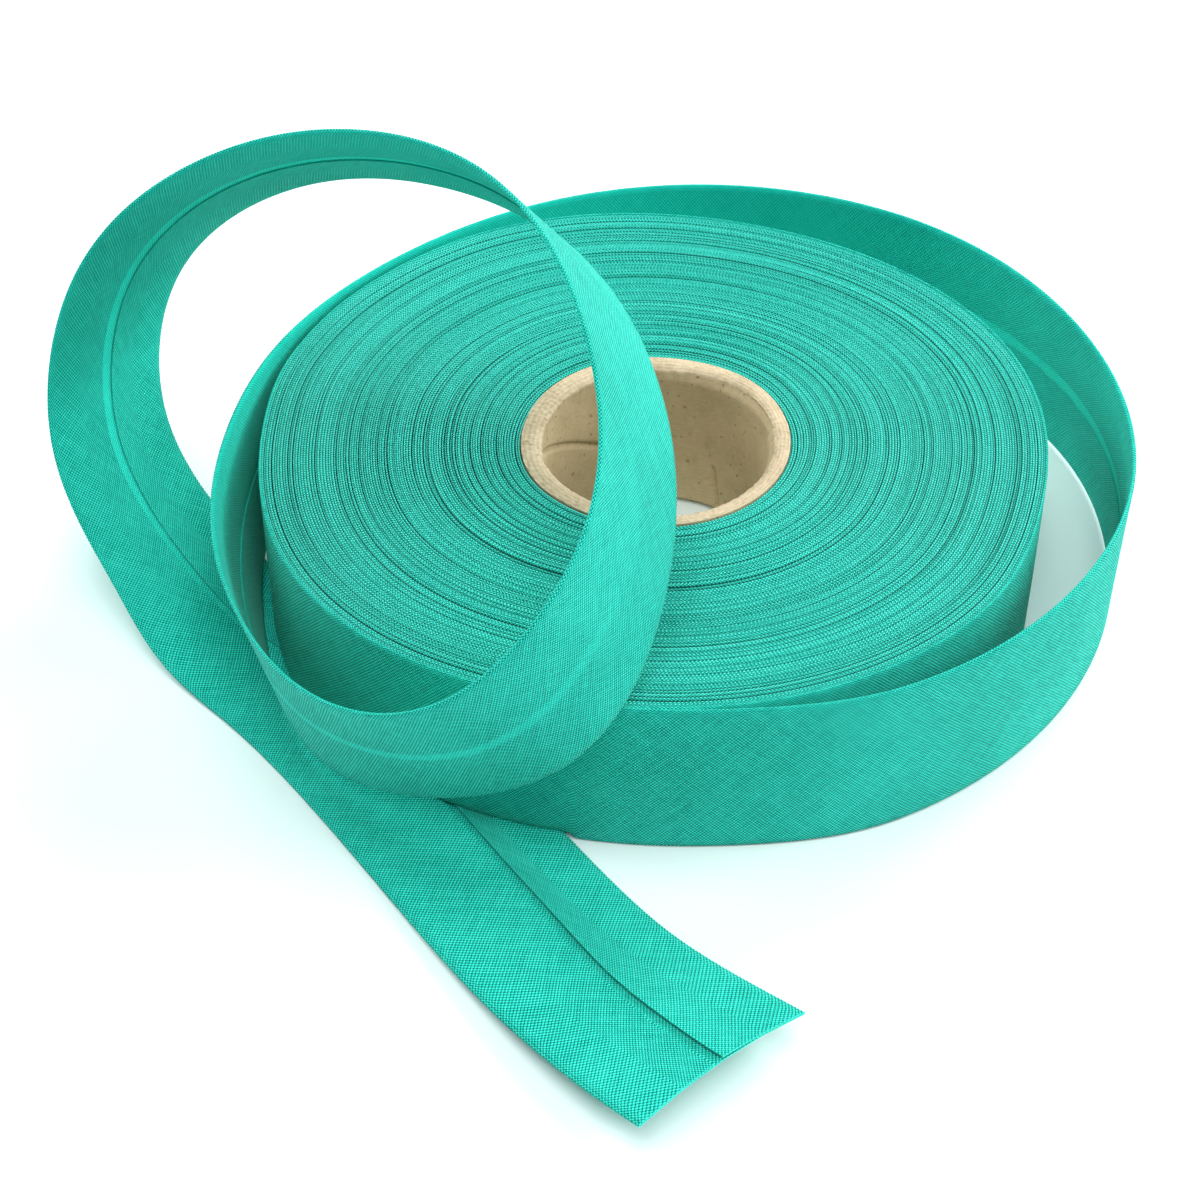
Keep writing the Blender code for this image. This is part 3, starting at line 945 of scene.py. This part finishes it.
for face in tube.data.polygons:
    face.material_index = 1 if face.center.z > TUBE_HEIGHT - LIP else 0
print("tube:", round(float(outside.mean()) / MM, 2), "mm radius, wall", TUBE_WALL / MM, "mm")

# %% [markdown]
# ## Whose place each piece takes
# All of it is one body: each piece is attached to it, and the CAD node that it stands for
# isn't shown. The loose strip is the one free part of the cloth: cut 50 mm wide, before it
# was folded to 25.

# %% riding on the frame
for piece, node, slot in ((inner_turns, "wound_roll", "bias_binding"),
                          (outer_turns, "wound_roll", "bias_binding"),
                          (last_turn, "wound_roll", "bias_binding"),
                          (loose_strip, "loose_end", "bias_binding"),
                          (tube, "core", "kraft_cardboard")):
    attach(piece, "root")
    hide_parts(node)
    print(piece.name, "stands for", node)

# %% [markdown]
# ## Floor, light and camera
# The roll lies on a plain white table under soft studio light. Five wide softboxes stand
# round it in a very dim room: high in front, low on the right, behind on both sides, and a
# weak one overhead. The lights from behind let the cloth glow a little, and the low ones
# bring out the weave.

# %% floor
FLOOR_DROP = 0.15 * MM
bpy.ops.mesh.primitive_plane_add(size=4.0, location=(0, 0, -FLOOR_DROP))
floor = bpy.context.object
floor.name = "floor"
floor_material, _, floor_shader = new_finish("white_table")
floor_shader.inputs["Base Color"].default_value = (0.82, 0.94, 0.94, 1.0)
floor_shader.inputs["Roughness"].default_value = 0.6
floor_shader.inputs["Specular IOR Level"].default_value = 0.2
floor.data.materials.append(floor_material)

# %% lights
SOFTBOX_SIZE = 0.7
SOFTBOXES = (
    ("front_high", (0.0, -0.64, 1.02), 7.2),
    ("right", (1.04, 0.0, 0.60), 10.6),
    ("back_right", (0.56, 0.87, 0.60), 11.0),
    ("back_left", (-0.85, 0.60, 0.60), 10.4),
    ("overhead", (0.0, 0.0, 1.2), 5.4),
)


def softbox(name, place, power):
    """A square area light at a place, turned to the middle of the table."""
    light = bpy.data.lights.new(name, "AREA")
    light.shape = "SQUARE"
    light.size = SOFTBOX_SIZE
    light.energy = power
    lamp = bpy.data.objects.new(name, light)
    bpy.context.scene.collection.objects.link(lamp)
    lamp.location = place
    lamp.rotation_euler = (-Vector(place)).to_track_quat("-Z", "Y").to_euler()


for name, place, power in SOFTBOXES:
    softbox(name, place, power)
world = bpy.data.worlds.new("room")
world.use_nodes = True
background = world.node_tree.nodes["Background"]
background.inputs["Color"].default_value = (0.95, 1.0, 1.0, 1.0)
background.inputs["Strength"].default_value = 0.03
bpy.context.scene.world = world
bpy.context.scene.view_settings.view_transform = "Standard"
print("softboxes:", len(SOFTBOXES), "with", sum(row[2] for row in SOFTBOXES), "W in all")

# %% camera
CAMERA_PLACE = Vector((0.00135, -0.2648, 0.2475))
CAMERA_AIM = Vector((0.00135, -0.0172, 0.025))
CAMERA_LENS = 75.98
CAMERA_ROLL = 0.0029
camera_data = bpy.data.cameras.new("camera")
camera_data.sensor_width = 36.0
camera_data.lens = CAMERA_LENS
camera_data.clip_start = 0.01
camera = bpy.data.objects.new("camera", camera_data)
bpy.context.scene.collection.objects.link(camera)
camera.location = CAMERA_PLACE
look = (CAMERA_AIM - CAMERA_PLACE).to_track_quat("-Z", "Y").to_matrix()
camera.rotation_euler = (look @ Matrix.Rotation(CAMERA_ROLL, 3, "Z")).to_euler()
bpy.context.scene.camera = camera
looks_down = math.degrees(math.asin((CAMERA_PLACE - CAMERA_AIM).normalized().z))
print("camera looks down by", round(looks_down, 1), "degrees")
